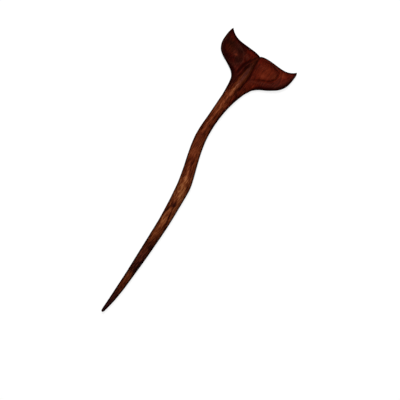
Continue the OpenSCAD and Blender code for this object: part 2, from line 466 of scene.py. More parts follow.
# The ripples come in where the gouge went this deep.
RIPPLED = (0.05, 0.5)


def ripples(x, y):
    along = y * math.cos(GOUGE_WAY) + x * math.sin(GOUGE_WAY) * np.sign(y)
    across = x * math.cos(GOUGE_WAY) - y * math.sin(GOUGE_WAY) * np.sign(y)
    sway = BROAD_SWAY * np.sin(along / BROAD_PACE)
    sway += FINE_SWAY * np.sin(along / FINE_PACE + across)
    return RIPPLE_DEPTH * np.sin(2 * math.pi * (across + sway) / RIPPLE_PITCH)


def carving(x, y):
    """How far the carved top lies above the blank's."""
    cuts = sum(cut(path, x, y) for path in CUTS.values())
    gouged = dish(x, y) + scoop(x, y)
    return stem(x, y) - cuts - gouged + ripples(x, y) * ease(gouged, *RIPPLED)


print("ripples:", RIPPLE_DEPTH, "mm deep")

# %% [markdown]
# ## Ribs and points
#
# The mesh is a skin over many ribs. The tail needs about four times as many points to a
# millimetre as the shaft, so the stick has two stretches: a plain one, and a fine one
# whose ribs have twice the points. `q` counts evenly round a rib and `t` is where that
# point lies: evenly by angle on the round shaft, and closer at the stem on the flat tail.

# %% Points round a rib
SHAFT_SIDE = 42
TAIL_SIDE = 2 * SHAFT_SIDE
FINE_START = 138
FLAT_FROM = 158
SHAFT_RIBS = [(0, 1.4, 12), (1.4, 12, 24), (12, FINE_START, 190)]
TAIL_RIBS = [(FINE_START, 154, 70), (154, ROUND_X, 144), (ROUND_X, NOTCH_X, 9)]


def stations(stretches):
    """The x of each rib in some stretches, given as start, end and number of steps."""
    parts = [np.linspace(a, b, n, endpoint=False) for a, b, n in stretches]
    return np.concatenate(parts + [[stretches[-1][1]]])


def spread(q, x):
    """The place along the rib at x of a point that is q of the way to its edge."""
    by_angle = np.sin(np.pi / 2 * q)
    close_to_middle = q * np.abs(q) * (3 - 2 * np.abs(q))
    at_stem = (close_to_middle + by_angle) / 2
    return by_angle + ease(x, FINE_START, FLAT_FROM) * (at_stem - by_angle)


def skin(stretches, side):
    """The points of each rib: over the top from right to left, and back underneath."""
    x = stations(stretches)[:, None]
    over = spread(np.linspace(-1, 1, 2 * side + 1), x)
    below = spread(np.linspace(1, -1, side + 1)[1:-1], x)
    over_x, over_y = place(x, over)
    top = top_of_blank(x, over) + closing(x) * carving(over_x, over_y)
    top_points = np.stack([over_x, over_y, top], axis=2)
    under_points = np.stack([*place(x, below), under_of_blank(x, below)], axis=2)
    return np.concatenate([top_points, under_points], axis=1)


shaft = skin(SHAFT_RIBS, SHAFT_SIDE)
tail = skin(TAIL_RIBS, TAIL_SIDE)
print("points: shaft", shaft.shape[:2], "and tail", tail.shape[:2])

# %% [markdown]
# ## Faces
#
# Neighbouring ribs are joined by quads. In two places a row of points meets one with half
# as many: where the shaft meets the tail's finer ribs, and along the trailing edge, where
# the top closes on the underside. There each step of the coarse row is joined to two
# steps of the fine one by three triangles.

# %% Joining rows of points
def quads(first, second):
    """Quads between two closed rows with as many points."""
    return [
        (first[j - 1], second[j - 1], second[j], first[j])
        for j in range(len(first))
    ]


def stitched(coarse, fine):
    """Triangles between a row and one with twice its steps, both open."""
    faces = []
    for j in range(len(coarse) - 1):
        a, b = coarse[j], coarse[j + 1]
        c, d, e = fine[2 * j : 2 * j + 3]
        faces += [(a, d, c), (a, b, d), (b, e, d)]
    return faces


def numbers(ribs, start):
    """The number of each point, a row for each rib."""
    return (start + np.arange(ribs.shape[0] * ribs.shape[1])).reshape(ribs.shape[:2]).tolist()


shaft_rows = numbers(shaft[:-1], 0)
tail_rows = numbers(tail, len(shaft_rows) * len(shaft_rows[0]))
point_number = tail_rows[-1][-1] + 1
faces = []
for rows in (shaft_rows, tail_rows):
    for first, second in zip(rows[:-1], rows[1:]):
        faces += quads(first, second)
closed = [row + row[:1] for row in (shaft_rows[-1], tail_rows[0])]
faces += [face[::-1] for face in stitched(*closed)]
last = tail_rows[-1]
over_edge = last[: 2 * TAIL_SIDE + 1]
under_edge = [last[0]] + last[: 2 * TAIL_SIDE - 1 : -1]
# The two rows share their ends, so their first and last triangles would be lines.
faces += stitched(under_edge, over_edge)[1:-1]
faces += [
    (point_number, shaft_rows[0][j - 1], shaft_rows[0][j])
    for j in range(len(shaft_rows[0]))
]
print("faces:", len(faces))

# %% [markdown]
# ## From the drawing to the frame
#
# The drawing's millimetres become the frame's metres: one scale makes the stick as long
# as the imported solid, and the middle of both goes to the same place.

# %% Vertices in the frame
POINT_ROUND = 0.06
point_end = [[-POINT_ROUND, float(measure("y", 0)), float(measure("edge", 0))]]
drawn = np.concatenate([shaft[:-1].reshape(-1, 3), tail.reshape(-1, 3), point_end])
SCALE = (solid_high.x - solid_low.x) / drawn[:, 0].max()
drawn_middle = np.array([
    drawn[:, 0].max() / 2,
    (drawn[:, 1].max() + drawn[:, 1].min()) / 2,
    0,
])


def in_frame(points):
    """Drawn millimetres as metres in the frame."""
    return (np.asarray(points, float) - drawn_middle) * SCALE


stick_mesh = bpy.data.meshes.new("hair_stick_carved")
stick_mesh.from_pydata(in_frame(drawn), [], faces)
stick_mesh.shade_smooth()
stick = bpy.data.objects.new("hair_stick_carved", stick_mesh)
bpy.context.scene.collection.objects.link(stick)
print("scale from the drawing:", round(SCALE * 1000, 5))

# %% [markdown]
# ## Flattening the skin
#
# To bake the wood into a picture, the skin has to lie flat. Blender's Smart UV Project
# would cut it into many scraps, so this layout follows the shape: the shaft is slit along
# its right edge and unrolled as two strips, and the tail's top and underside lie side by
# side, each point as far from the middle as it is along the skin. `turn` tells how far
# round its rib a point is: 0 at the right edge, 0.5 at the left one, and back to 1. The
# band round the trailing edge lies between two lines close to the sheet's top.

# %% Where each point goes on a flat sheet
SHEET = 95.0
MARGIN = 0.8
STRIP_SPLIT = 69
STRIP_WIDTH = 24.3
STRIPS_START = 44.0
BAND_LINES = (0.2, 0.9)


def turns(points):
    """How far round its rib each of so many points is."""
    side = points // 3
    over = np.linspace(0, 0.5, 2 * side + 1)
    return np.concatenate([over, np.linspace(0.5, 1, side + 1)[1:-1]])


def past_middle(rows):
    """How far past the middle of its row each point is, along the skin."""
    steps = np.linalg.norm(np.diff(drawn[rows], axis=1), axis=2)
    way = np.pad(np.cumsum(steps, axis=1), ((0, 0), (1, 0)))
    return way - way[:, -1:] / 2


turn = np.zeros(len(drawn))
for rows in (shaft_rows, tail_rows):
    turn[np.array(rows)] = turns(len(rows[0]))
over_rows = np.array(tail_rows)[:, : 2 * TAIL_SIDE + 1]
under_rows = np.array([row[2 * TAIL_SIDE :] + row[:1] for row in tail_rows])
over_way, under_way = np.zeros(len(drawn)), np.zeros(len(drawn))
over_way[over_rows] = past_middle(over_rows)
under_way[under_rows] = past_middle(under_rows)
fit = (SHEET / 4 - MARGIN / 2) / max(over_way.max(), under_way.max())
print("tail on the sheet at", round(float(fit), 3), "of its width")

# %% [markdown]
# ## The map of the skin
#
# A UV map keeps a place for each corner of each face, not for each vertex, so that a
# vertex on a slit can lie in two places. The last sort of face is the narrow band round
# the trailing edge. The export bakes through a map that has this name.

# %% A UV map
corner = np.concatenate(faces)
sizes = np.array([len(face) for face in faces])
face_starts = np.cumsum(sizes) - sizes


def of_face(how, values):
    """One number from all the corners of each face, given to each of them."""
    return np.repeat(how.reduceat(values, face_starts), sizes)


corner_x, corner_turn, edge_turn = drawn[corner, 0], turn[corner], turn[corner]
is_point = corner == point_number
corner_turn += of_face(np.maximum, corner_turn) - corner_turn > 0.5
corner_turn[is_point] = 0
corner_turn[is_point] = of_face(np.add, corner_turn)[is_point] / 2
corner_x[is_point] = -RIBS[0, COLUMNS.index("left")]
strip = of_face(np.minimum, corner_x) > STRIP_SPLIT
on_shaft = of_face(np.minimum, corner) < tail_rows[0][0]
on_trailing_edge = of_face(np.minimum, corner) >= last[0]
on_top = of_face(np.maximum, corner_turn) <= 0.5
on_sheet = np.select(
    [on_shaft, on_trailing_edge, on_top],
    [
        (
            corner_x - strip * STRIP_SPLIT + MARGIN,
            STRIPS_START + corner_turn * STRIP_WIDTH + strip * (STRIP_WIDTH + MARGIN),
        ),
        (
            MARGIN + (1 - np.abs(2 * edge_turn - 1)) * (SHEET - 2 * MARGIN),
            SHEET - np.where(edge_turn <= 0.5, *BAND_LINES),
        ),
        (SHEET / 4 - over_way[corner] * fit, corner_x - FINE_START + MARGIN),
    ],
    (SHEET * 3 / 4 - under_way[corner] * fit, corner_x - FINE_START + MARGIN),
)
sheet_map = stick_mesh.uv_layers.new(name="OFBake")
sheet_map.uv.foreach_set("vector", (on_sheet / SHEET).T.ravel().astype(np.float32))
print("corners on the sheet:", len(corner))

# %% [markdown]
# ## A hand's unevenness
#
# No hand keeps a surface true to a tenth of a millimetre. Each vertex moves along its
# normal by a smooth noise, broad and slight on the shaft and closer on the tail. The
# noise is worked out from the vertex's place, so it is the same in every run. A Displace
# modifier could do this too, but not with a different pace along and across the stick.

# %% Uneven by hand
UNEVEN = [
    # pace along, pace across in mm, and height in mm
    (14.0, 5.0, 0.055),
    (4.5, 2.2, 0.022),
]


def vertex_normals(mesh):
    found = np.empty(len(mesh.vertices) * 3, np.float32)
    mesh.vertices.foreach_get("normal", found)
    return found.reshape(-1, 3).astype(float)


normals = vertex_normals(stick_mesh)
rise = np.zeros(len(drawn))
for pace, pace_across, height in UNEVEN:
    paced = drawn / [pace, pace_across, pace_across]
    rise += height * np.array([noise.noise(Vector(p)) for p in paced])
lying = in_frame(drawn) + normals * rise[:, None] * SCALE
lying[:, 2] = np.maximum(lying[:, 2], solid_low.z)
stick_mesh.vertices.foreach_set("co", lying.astype(np.float32).ravel())
stick_mesh.update()
normals = vertex_normals(stick_mesh)
print("unevenness, in mm:", round(float(rise.min()), 3), "to", round(float(rise.max()), 3))

# %% [markdown]
# ## Where hollows and crests are
#
# The wood is painted darker in cuts and hollows, a painted shade, and a little lighter on
# crests. To know them, each vertex is compared with the mean of those a little way off round
# its rib and along the stick: below that mean it lies in a hollow, above it on a crest. The
# result is kept on the mesh as an attribute, which the wood's nodes read by its name.

# %% Hollows and crests
# How many ribs along and how many points around each comparison reaches.
SHAFT_REACH = (1, 3)
TAIL_REACH = (5, 3)
HOLLOW_DEPTHS = (0.01, 0.12)
CREST_HEIGHTS = (0.03, 0.15)


def standing(ribs, face_out, along, around):
    """How far each point stands out of its surroundings, in mm."""
    total = np.zeros(ribs.shape)
    for step in range(-along, along + 1):
        rows = np.clip(np.arange(len(ribs)) + step, 0, len(ribs) - 1)
        for shift in range(-around, around + 1):
            total += np.roll(ribs[rows], shift, axis=1)
    mean = total / ((2 * along + 1) * (2 * around + 1))
    return ((ribs - mean) * face_out).sum(axis=2)


def keep_on_mesh(name, values):
    """Keeps a number for each vertex on the mesh, for the material to read."""
    attribute = stick_mesh.attributes.new(name, "FLOAT", "POINT")
    attribute.data.foreach_set("value", np.asarray(values, np.float32))


faired = drawn + normals * rise[:, None]
stands = np.zeros(len(drawn))
for rows, reach in ((shaft_rows, SHAFT_REACH), (tail_rows, TAIL_REACH)):
    in_ribs = np.array(rows)
    stands[in_ribs] = standing(faired[in_ribs], normals[in_ribs], *reach)
hollow = ease(-stands, *HOLLOW_DEPTHS)
crest = ease(stands, *CREST_HEIGHTS)
# Hollows darken the wood's colour: a painted shade.
keep_on_mesh("hollow", hollow)
keep_on_mesh("crest", crest)
print("vertices in hollows:", int((hollow > 0.5).sum()))
print("vertices on crests:", int((crest > 0.5).sum()))

# %% [markdown]
# ## The tone along the stick
#
# The blank wasn't even: the wood is lightest in the thick of the bend, dull and dark where
# the shaft thins, and nearly black at the point. A curve through a few places along the
# stick gives that. A painted texture could too, but it would need an image.

# %% Lightness along the stick
TONE = np.array([
    # x, lightness from 0 to 1
    [0, 0.0],
    [8, 0.05],
    [14, 0.17],
    [19, 0.36],
    [26, 0.38],
    [31, 0.10],
    [36, 0.20],
    [42, 0.30],
    [47, 0.16],
    [52, 0.34],
    [58, 0.46],
    [64, 0.55],
    [69, 0.61],
    [78, 0.53],
    [84, 0.69],
    [90, 0.71],
    [96, 0.50],
    [102, 0.50],
    [107, 0.56],
    [112, 0.44],
    [118, 0.42],
    [126, 0.46],
    [134, 0.47],
    [139, 0.60],
    [144, 0.44],
    [150, 0.50],
    [156, 0.42],
    [162, 0.30],
    [176, 0.28],
])
print("places with a tone:", len(TONE))

# %% [markdown]
# ## Marks in the wood
#
# On that tone lie a dark fleck with two dark limbs just below the bend, a grey painted sheen
# along the crest of the stem and the lighter and darker patches of the flukes. Some marks are
# painted light as well: highlights along the top of the shaft, the bend and the stem, a
# highlight in the left dish, and shade down a flank of the bend and along the right fluke's
# leading edge. A plain noise can't place such marks, so the ones that catch the eye are
# listed: middle, half length, half width, turn in degrees, how much lighter or darker, and
# how much redder, or greyer below zero.

# %% The table of marks
MARK_COLUMNS = "x y long wide turn shade red".split()
MARKS = np.array([
    # the shaft from the point to the bend
    [26, -11.2, 4, 1.5, 0, 0.10, 0],
    [21.5, -10.8, 2, 0.8, 0, -0.04, 0],
    [34, -12.6, 6, 1.5, 0, -0.10, 0],
    [38, -11.3, 8, 4, 0, 0, -0.35],
    [51, -9.3, 3, 1.0, 0, 0.10, 0],
    [44.5, -11.6, 3, 1.2, 0, 0.06, 0],
    [47, -12.2, 2, 2.2, 0, -0.10, 0],
    # the belly of the bend, with its fleck and its limbs
    [64, -9.4, 8, 1.6, 4, 0.16, 0],
    [71, -7.5, 4.8, 0.5, -5, -0.46, 0],
    [68, -11.1, 7, 0.5, 12, -0.48, 0.2],
    [75.6, -9.1, 1.8, 1.0, 25, -0.56, -0.3],
    [80, -11.0, 3.5, 0.7, 8, 0.12, 0],
    [83, -8.0, 4.5, 1.5, 9, 0.12, 0],
    [88.8, -7.1, 1.4, 0.4, 5, -0.26, 0],
    [88.9, -9.3, 1.1, 0.6, 10, -0.32, 0],
    [86.5, -10.2, 3.0, 0.5, 8, -0.24, 0.2],
    [92, -8.5, 4, 0.6, 17, -0.20, 0],
    [95.3, -6.1, 1.3, 0.5, 18, -0.30, 0],
    [98.7, -5.1, 2.6, 0.5, 22, -0.24, 0],
    [86, -5.3, 3.5, 0.9, 8, -0.16, 0],
    [76, -11.2, 5, 1.0, 6, 0.12, 0],
    # a painted highlight along the top of the bend
    [94, -5.3, 5, 0.9, 18, 0.28, 0],
    # a painted shade down the bend's left flank
    [95, -3.0, 7, 0.7, 18, -0.24, 0.1],
    # the shaft from the bend to the neck
    [102.3, -3.5, 1.9, 0.8, 20, -0.36, 0.1],
    [110, -2.6, 13, 1.1, 13, 0.08, 0],
    # a painted highlight line along the top of the neck, this row and the next
    [122, 2.6, 7, 0.8, -1, 0.10, 0],
    [134, 1.9, 8, 0.6, -1, 0.20, 0],
    [130, 3.4, 9, 0.5, 0, -0.14, 0],
    [122, 0.2, 7, 0.5, 0, -0.16, 0],
    [134, -1.0, 9, 0.6, 0, -0.20, 0.3],
    # the stem, and the wood beside it
    # a painted highlight along the lit top of the stem
    [149.5, 1.5, 6, 0.8, -2, 0.30, 0],
    [142, -1.8, 7, 1.2, 3, 0.0, 0.4],
    [149, -2.4, 8, 1.9, 10, -0.24, 0.3],
    [155.0, -3.8, 4, 1.6, -25, -0.20, 0.1],
    [153, 4.3, 5, 1.3, 0, -0.40, 0.2],
    [155, 0, 2, 0.6, 0, 0.20, 0],
    [160, -0.1, 1.6, 0.6, 0, 0.14, 0],
    # a grey painted sheen along the crest of the stem
    [161, 0.9, 9, 1.35, 0, 0, -1.1],
    [166.3, 3.9, 3.2, 1.0, 0, -0.20, 0],
    [167.8, 0.4, 3.2, 1.3, 0, -0.16, 0],
    [169.2, -2.4, 2.6, 0.9, 0, -0.09, 0],
    [167.0, 2.5, 3.2, 0.7, 0, -0.15, 0],
    [164.5, -1.2, 3.0, 0.6, 0, 0.10, 0],
    [172, 0.8, 1.8, 1.2, 0, -0.10, -0.4],
    [173.4, -2.0, 1.3, 0.9, 0, 0.12, 0.3],
    # the right fluke
    [158.5, -6.5, 2.0, 1.2, -30, 0.12, 0],
    [161.2, -6.0, 2.5, 1.4, -50, -0.05, -0.1],
    [169.3, -6.5, 1.2, 2.5, 0, -0.07, 0],
    [170.5, -8.0, 3.4, 5.2, 0, 0.22, 0],
    [166.6, -8.0, 1.6, 3.4, -30, 0.22, -0.1],
    [171, -9.5, 5, 6, 0, 0, -0.18],
    [172.5, -20.5, 3.5, 1.8, -35, 0, 0.4],
    [168, -17.2, 1.6, 1.6, 0, 0, 0.2],
    [170.6, -14, 1.4, 1.4, 0, 0.14, -0.3],
    [174, -18.0, 1.8, 2.2, 0, 0.30, -0.2],
    [165.3, -5.4, 2.0, 2.4, 0, 0.11, 0],
    [168, -11, 1.2, 2.0, 0, 0.09, 0],
    [164.8, -9.6, 2.2, 1.2, -55, -0.08, 0],
    # a painted shade along the right fluke's rounded leading edge
    [166.5, -17.5, 8, 1.8, -50, -0.12, 0.4],
    [177, -22, 1.6, 1.2, 0, 0.16, 0],
    # the left fluke
    [163, 5.8, 4, 1.6, 10, -0.06, 0.1],
    [174, 5.0, 1.3, 2.2, 0, 0.12, 0.3],
    [177.5, 21.2, 2.0, 1.2, -20, 0.12, 0.3],
    [162, 8.5, 3.5, 2.5, 30, -0.05, 0.4],
    [165, 16.0, 2.0, 5.0, 20, -0.06, 0.2],
    [169.5, 12.5, 5.0, 6.5, 0, -0.16, 0],
    # a painted highlight in the left dish
    [168.2, 11.8, 0.6, 0.9, 0, 0.26, -0.5],
    [169.4, 14.0, 1.8, 2.2, 20, 0.10, 0],
    [175.6, 12.0, 1.6, 4.0, 0, -0.13, 0],
    [172.6, 18.6, 1.8, 2.4, 0, -0.18, -0.7],
    [172.0, 11.2, 1.8, 2.0, 0, -0.23, -0.1],
    [174, 13.5, 1.6, 3.0, 0, -0.08, 0.2],
    [165.5, 8.8, 2.5, 1.8, 0, -0.09, 0.15],
    [169.5, 17.0, 3.5, 3.5, 0, 0.02, -0.4],
    [166.3, 9.2, 2.0, 2.2, 0, -0.22, -0.2],
])
print("marks:", len(MARKS))

# %% [markdown]
# ## Laying the figure on the mesh
#
# Each mark fades out from its middle like a soft brush stroke. Before the marks are looked
# up, a point wanders a little, which frays each mark along the fibres. Blender's vector
# noise is another one in each run unless it gets a seed, so it gets one here. The tail is
# redder than the shaft, apart from the crest of its stem, and the point is greyer. The grey
# on the crest of the stem is a painted sheen, so the grey cast is partly the wood's own
# colour and partly painted sheen.

# %% Figure, tone, redness, and grey with a painted sheen
WANDER_PACE = (3.5, 1.6, 1.6)
WANDER_ALONG = 1.5
WANDER_ACROSS = 0.3
TAIL_WANDER = 0.5
WANDER_SEED = 1
# Each change comes over a range: of x, of the stem's height, or of the normal's slope.
TAIL_STARTS = (148, 162)
BEND_ENDS = (84, 100)
POINT_ENDS = (20, 4)
STEM_RISES = (0.1, 0.6)
TURNS_UP = (-0.5, 0.3)
FIGURE_BELOW = 0.3
RED_PAST_BEND = 0.25
RED_ON_TAIL = 0.6
LESS_RED_ON_STEM = 0.5
GREYER_AT_POINT = 0.7
STREAKS_ON_TAIL = 0.45


def marks_at(x, y):
    """The sums of the marks' shade and of their red at each point."""
    shade = np.zeros(np.shape(x))
    red = np.zeros(np.shape(x))
    for row in MARKS:
        at = dict(zip(MARK_COLUMNS, row))
        angle = math.radians(at["turn"])
        along = (x - at["x"]) * math.cos(angle) + (y - at["y"]) * math.sin(angle)
        across = (y - at["y"]) * math.cos(angle) - (x - at["x"]) * math.sin(angle)
        weight = np.exp(-((along / at["long"]) ** 2) - (across / at["wide"]) ** 2)
        shade += at["shade"] * weight
        red += at["red"] * weight
    return shade, red


drawn_x, drawn_y = drawn[:, 0], drawn[:, 1]
on_tail = ease(drawn_x, *TAIL_STARTS)
noise.seed_set(WANDER_SEED)
wandering = np.array([noise.noise_vector(Vector(p)) for p in drawn / WANDER_PACE])
wandering *= 1 - (1 - TAIL_WANDER) * on_tail[:, None]
wandered = drawn + wandering * [WANDER_ALONG, WANDER_ACROSS, 0]
figure, redness = marks_at(wandered[:, 0], wandered[:, 1])
figure *= FIGURE_BELOW + (1 - FIGURE_BELOW) * ease(normals[:, 2], *TURNS_UP)
redness += RED_PAST_BEND * ease(drawn_x, *BEND_ENDS)
on_stem = ease(stem(drawn_x, drawn_y), *STEM_RISES)
redness += on_tail * (RED_ON_TAIL - LESS_RED_ON_STEM * on_stem)
redness -= GREYER_AT_POINT * ease(drawn_x, *POINT_ENDS)
keep_on_mesh("figure", figure)
keep_on_mesh("tone", np.interp(drawn_x, TONE[:, 0], TONE[:, 1]))
keep_on_mesh("redness", np.clip(redness, 0, 1))
# Grey cast: greyer wood at the point, and a painted sheen on the stem's crest.
keep_on_mesh("grey_and_sheen", np.clip(-redness, 0, 1))
keep_on_mesh("streaky", 1 - (1 - STREAKS_ON_TAIL) * on_tail)
print("figure from", round(float(figure.min()), 2), "to", round(float(figure.max()), 2))

# %% [markdown]
# ## The dark rim, a painted shade
#
# The real stick is nearly black along all its edges, where its surface turns away from the
# light, and the wood is painted darker along the outline to give that: a painted shade. Each
# vertex's distance from the outline, seen from above, comes from a k-d tree, which finds the
# nearest of many points quickly. The rim is a thin line on the shaft, wider on the flukes and
# widest along the left one. A node for edges, such as Pointiness, would darken each knife
# cut's lip too.

# %% Distance from the outline
LONG_RIM = (0.2, 1.9)
TRAILING_RIM = (0.15, 0.85)
WIDER_RIGHT = 1.35
WIDER_LEFT = 2.1
NARROWER_SHAFT = 0.6
RIM_BELOW = 0.4
FACES_UP = (0.0, 0.45)


def inside_of(outline):
    """How far each vertex lies from the nearest one of the outline, from above, in mm."""
    tree = KDTree(len(outline))
    for number in outline:
        tree.insert((*drawn[number, :2], 0), number)
    tree.balance()
    return np.array([tree.find((x, y, 0))[2] for x, y in drawn[:, :2]])


long_edges = [row[0] for row in shaft_rows + tail_rows]
long_edges += [row[2 * len(row) // 3] for row in shaft_rows + tail_rows]
wider_tail = np.where(drawn_y > 0, WIDER_LEFT, WIDER_RIGHT)
wider = NARROWER_SHAFT + on_tail * (wider_tail - NARROWER_SHAFT)
beyond_long = ease(inside_of(long_edges) / wider, *LONG_RIM)
rim = 1 - beyond_long * ease(inside_of(over_edge) / wider, *TRAILING_RIM)
rim *= RIM_BELOW + (1 - RIM_BELOW) * ease(normals[:, 2], *FACES_UP)
# The rim darkens the wood's colour: a painted shade along the outline.
keep_on_mesh("rim", rim)
print("vertices in the rim:", int((rim > 0.5).sum()))

# %% [markdown]
# ## A helper for nodes
#
# The wood's material is a tree of nodes. This helper adds one node, sets its options and
# fills its inputs, either with a value or by a link from another node's output, so each
# of the next cells reads as a list of what the wood is made of.

# %% Adding nodes
wood = bpy.data.materials.new("oiled_rosewood")
wood.use_nodes = True
wood_nodes = wood.node_tree.nodes
wood_nodes.clear()


def add(kind, inputs, **options):
    """A new node of this kind, with its inputs filled by number or name."""
    made = wood_nodes.new("ShaderNode" + kind)
    for name, value in options.items():
        setattr(made, name, value)
    for name, value in inputs.items():
        if isinstance(value, bpy.types.NodeSocket):
            wood.node_tree.links.new(value, made.inputs[name])
        else:
            made.inputs[name].default_value = value
    return made


def maths(operation, *values):
    """A sum, product or other operation on numbers or outputs."""
    return add("Math", dict(enumerate(values)), operation=operation).outputs[0]


def vector_maths(operation, first, second):
    """The same for two vectors."""
    return add("VectorMath", {0: first, 1: second}, operation=operation).outputs[0]


def stretched(vector, along, across):
    """Coordinates whose noise is drawn out along the stick: waves to a millimetre."""
    return vector_maths("MULTIPLY", vector, (along, across, across))


def noise_on(vector, detail, roughness):
    """A noise from 0 to 1 on these coordinates."""
    inputs = {"Vector": vector, "Scale": 1.0, "Detail": detail, "Roughness": roughness}
    return add("TexNoise", inputs).outputs["Fac"]


def in_contrast(value, low, high):
    """Stretches what lies between low and high to 0 to 1, with soft ends."""
    ends = {"Value": value, "From Min": low, "From Max": high}
    return add("MapRange", ends, interpolation_type="SMOOTHSTEP").outputs[0]


def read_from_mesh(name):
    return add("Attribute", {}, attribute_name=name).outputs["Fac"]


print("material:", wood.name)

# %% [markdown]
# ## The grain
#
# Wood is a stack of growth layers with long fibres in it, and a carved surface cuts
# through them. So the grain is worked out in space and not on the surface: the object's
# own coordinates in millimetres, bent a little by a slow noise, feed rings round a pith
# beside the stick, long streaks, fine fibres and pores. An unwrapped pattern would break
# at its seams and stretch over the carving.

# %% Growth rings, streaks, fibres and pores
RING_WIDTH = 1.7
PITH = (0, 31, 24)
# At scale 1, the Wave node's rings are this far apart.
WAVE_TURN = 0.314
BEND = (0, 6, 6)
BEND_WAVES = (0.03, 0.09)
PORE_WAVES = (0.4, 5.5)
PORE_EDGE, PORE_MIDDLE = 0.32, 0.12


def grain_noise(along, across, detail, roughness, dark, light):
    """A noise along the grain, by its waves to a millimetre and what becomes 0 and 1."""
    waves = noise_on(stretched(grain, along, across), detail, roughness)
    return in_contrast(waves, dark, light)


object_place = add("TexCoord", {}).outputs["Object"]
in_mm = vector_maths("MULTIPLY", object_place, (1000, 1000, 1000))
slow_noise = add(
    "TexNoise",
    {"Vector": stretched(in_mm, *BEND_WAVES), "Scale": 1.0, "Detail": 2.0},
)
both_ways = vector_maths("SUBTRACT", slow_noise.outputs["Color"], (0.5, 0.5, 0.5))
grain = vector_maths("ADD", in_mm, vector_maths("MULTIPLY", both_ways, BEND))

from_pith = vector_maths("ADD", grain, PITH)
rings = add(
    "TexWave",
    {"Vector": from_pith, "Scale": WAVE_TURN / RING_WIDTH},
    wave_type="RINGS",
    rings_direction="X",
    wave_profile="SAW",
).outputs["Fac"]
streaks = grain_noise(0.03, 0.5, detail=5.0, roughness=0.6, dark=0.3, light=0.7)
flecks = grain_noise(0.3, 2.0, detail=3.0, roughness=0.5, dark=0.34, light=0.66)
fibres = grain_noise(0.1, 5.0, detail=3.0, roughness=0.6, dark=0.3, light=0.7)
pore_cells = add("TexVoronoi", {"Vector": stretched(grain, *PORE_WAVES), "Scale": 1.0})
from_pore = pore_cells.outputs["Distance"]
pores = add(
    "MapRange",
    {"Value": from_pore, "From Min": PORE_EDGE, "From Max": PORE_MIDDLE},
).outputs[0]
print("nodes for the grain:", len(wood_nodes))

# %% [markdown]
# ## The colour
#
# All of that is added up into one number, the lightness of the wood at that point, and a
# ramp turns it into colours: nearly black, maroon, red-brown, orange-brown and a light
# tan. Mixing finished colours layer over layer would grey them; one ramp keeps every
# shade a shade of the same wood. Only the red and the grey casts come on top of it.

# %% From lightness to colour
LAYERS = [
    # what is added to the lightness, and how much of it
    (streaks, 0.17),
    (rings, 0.12),
    (flecks, 0.40),
    (fibres, 0.24),
]
PORE_SHADE = -0.12
# Painted shade: the wood is darker in hollows and along the outline, and a little lighter on
# crests.
SHADE_BY_SHAPE = {"hollow": -0.18, "crest": 0.04, "rim": -0.36}
lightness = maths("ADD", read_from_mesh("tone"), read_from_mesh("figure"))
streaky = read_from_mesh("streaky")
for layer, amount in LAYERS:
    centred_layer = maths("MULTIPLY", maths("SUBTRACT", layer, 0.5), streaky)
    lightness = maths("MULTIPLY_ADD", centred_layer, amount, lightness)
lightness = maths("MULTIPLY_ADD", pores, PORE_SHADE, lightness)
for name, amount in SHADE_BY_SHAPE.items():
    lightness = maths("MULTIPLY_ADD", read_from_mesh(name), amount, lightness)

SHADES = [
    # lightness, then red, green and blue
    (0.00, (0.012, 0.0020, 0.0010)),
    (0.18, (0.030, 0.0052, 0.0020)),
    (0.36, (0.072, 0.0125, 0.0033)),
    (0.55, (0.125, 0.026, 0.0068)),
    (0.75, (0.200, 0.054, 0.0165)),
    (1.00, (0.330, 0.120, 0.041)),
]
ramp_node = add("ValToRGB", {0: lightness})
stops = ramp_node.color_ramp.elements
for number, (at, colour) in enumerate(SHADES):
    stop = stops[number] if number < 2 else stops.new(at)
    stop.position = at
    stop.color = (*colour, 1)
# Where the wood is redder or greyer, the ramp's colour is multiplied by one of these; the grey
# cast is also the painted sheen on the crest of the stem. A Mix node takes its two colours at
# inputs 6 and 7 and gives the result at output 2.
CASTS = {"redness": (1.0, 0.36, 0.6, 1), "grey_and_sheen": (1.0, 1.25, 3.8, 1)}
colour = ramp_node.outputs["Color"]
for name, cast in CASTS.items():
    colour = add(
        "Mix",
        {"Factor": read_from_mesh(name), 6: colour, 7: cast},
        data_type="RGBA",
        blend_type="MULTIPLY",
    ).outputs[2]
print("shades of the wood:", len(stops))

# %% [markdown]
# ## The oiled finish
#
# The stick was sanded and rubbed with oil: a soft satin shine that is duller in the cuts
# and pores. The pores and fibres are too fine for the mesh, so they are a bump of a
# hundredth or two of a millimetre.

# %% Shine and fine relief
SATIN = 0.42
DULLER = [
    # what adds to the roughness, and how much of it
    (read_from_mesh("hollow"), 0.25),
    (flecks, -0.08),
    (pores, 0.3),
]
roughness = SATIN
for layer, amount in DULLER:
    roughness = maths("MULTIPLY_ADD", layer, amount, roughness)
BUMP_DEPTH = 0.00003
BUMP_STRENGTH = 0.7
FIBRE_HEIGHT = 0.3
PORE_HEIGHT = -0.4
SHEEN = 0.04
SHEEN_TINT = (1.0, 0.3, 0.18, 1)
fibre_relief = maths("MULTIPLY", fibres, FIBRE_HEIGHT)
relief = maths("MULTIPLY_ADD", pores, PORE_HEIGHT, fibre_relief)
bump = add("Bump", {"Height": relief, "Strength": BUMP_STRENGTH, "Distance": BUMP_DEPTH})
finish = add(
    "BsdfPrincipled",
    {
        "Base Color": colour,
        "Roughness": roughness,
        "Normal": bump.outputs["Normal"],
        "Specular IOR Level": SHEEN,
        "Specular Tint": SHEEN_TINT,
    },
)
add("OutputMaterial", {"Surface": finish.outputs[0]})
stick_mesh.materials.append(wood)
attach(stick, "root")
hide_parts("hair_stick")
print("the carved stick stands for the packed solid")

# %% [markdown]
# ## The floor
#
# Product photographs are taken on a white sweep: a table that curves up into a wall, so
# that no horizon shows in a low view. This one is a flat disc with a curved rim all
# round, and it glows by itself, so that it stays white under the object. Its glow doesn't
# light the stick: in the photograph the shaft's flanks fall off to dark.

